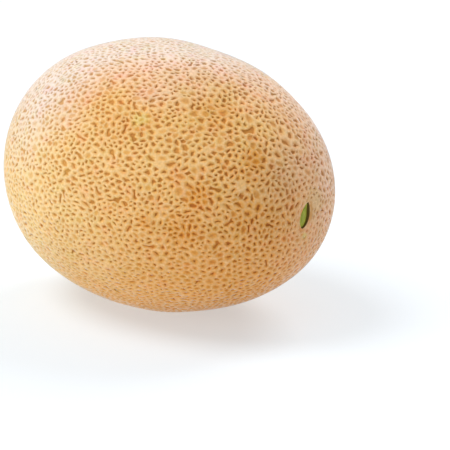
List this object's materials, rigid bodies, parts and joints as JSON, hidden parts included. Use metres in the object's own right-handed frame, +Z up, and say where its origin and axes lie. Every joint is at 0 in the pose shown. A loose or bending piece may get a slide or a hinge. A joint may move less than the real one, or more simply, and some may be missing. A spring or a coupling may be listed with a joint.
{
  "type": "cantaloupe melon",
  "caption": "Whole ripe netted cantaloupe melon lying on its side, with a raised cork net over an orange skin and a lens-shaped green stem scar.",
  "frame": {"origin": "under the middle of the fruit's bounding box, on the surface it lies on", "axes": "+X along the fruit's length towards the stem end, +Z up, +Y to the left seen from the blossom end"},
  "size_m": [0.187, 0.1408, 0.1392],
  "materials": {
    "cork_net": "dry cork net, light beige to tan",
    "rind": "ochre-orange skin in the pits of the net",
    "scar_flesh": "moist pale green flesh with a dark brown edge"
  },
  "bodies": {
    "root": {"melon": "cork_net"}
  },
  "joints": []
}
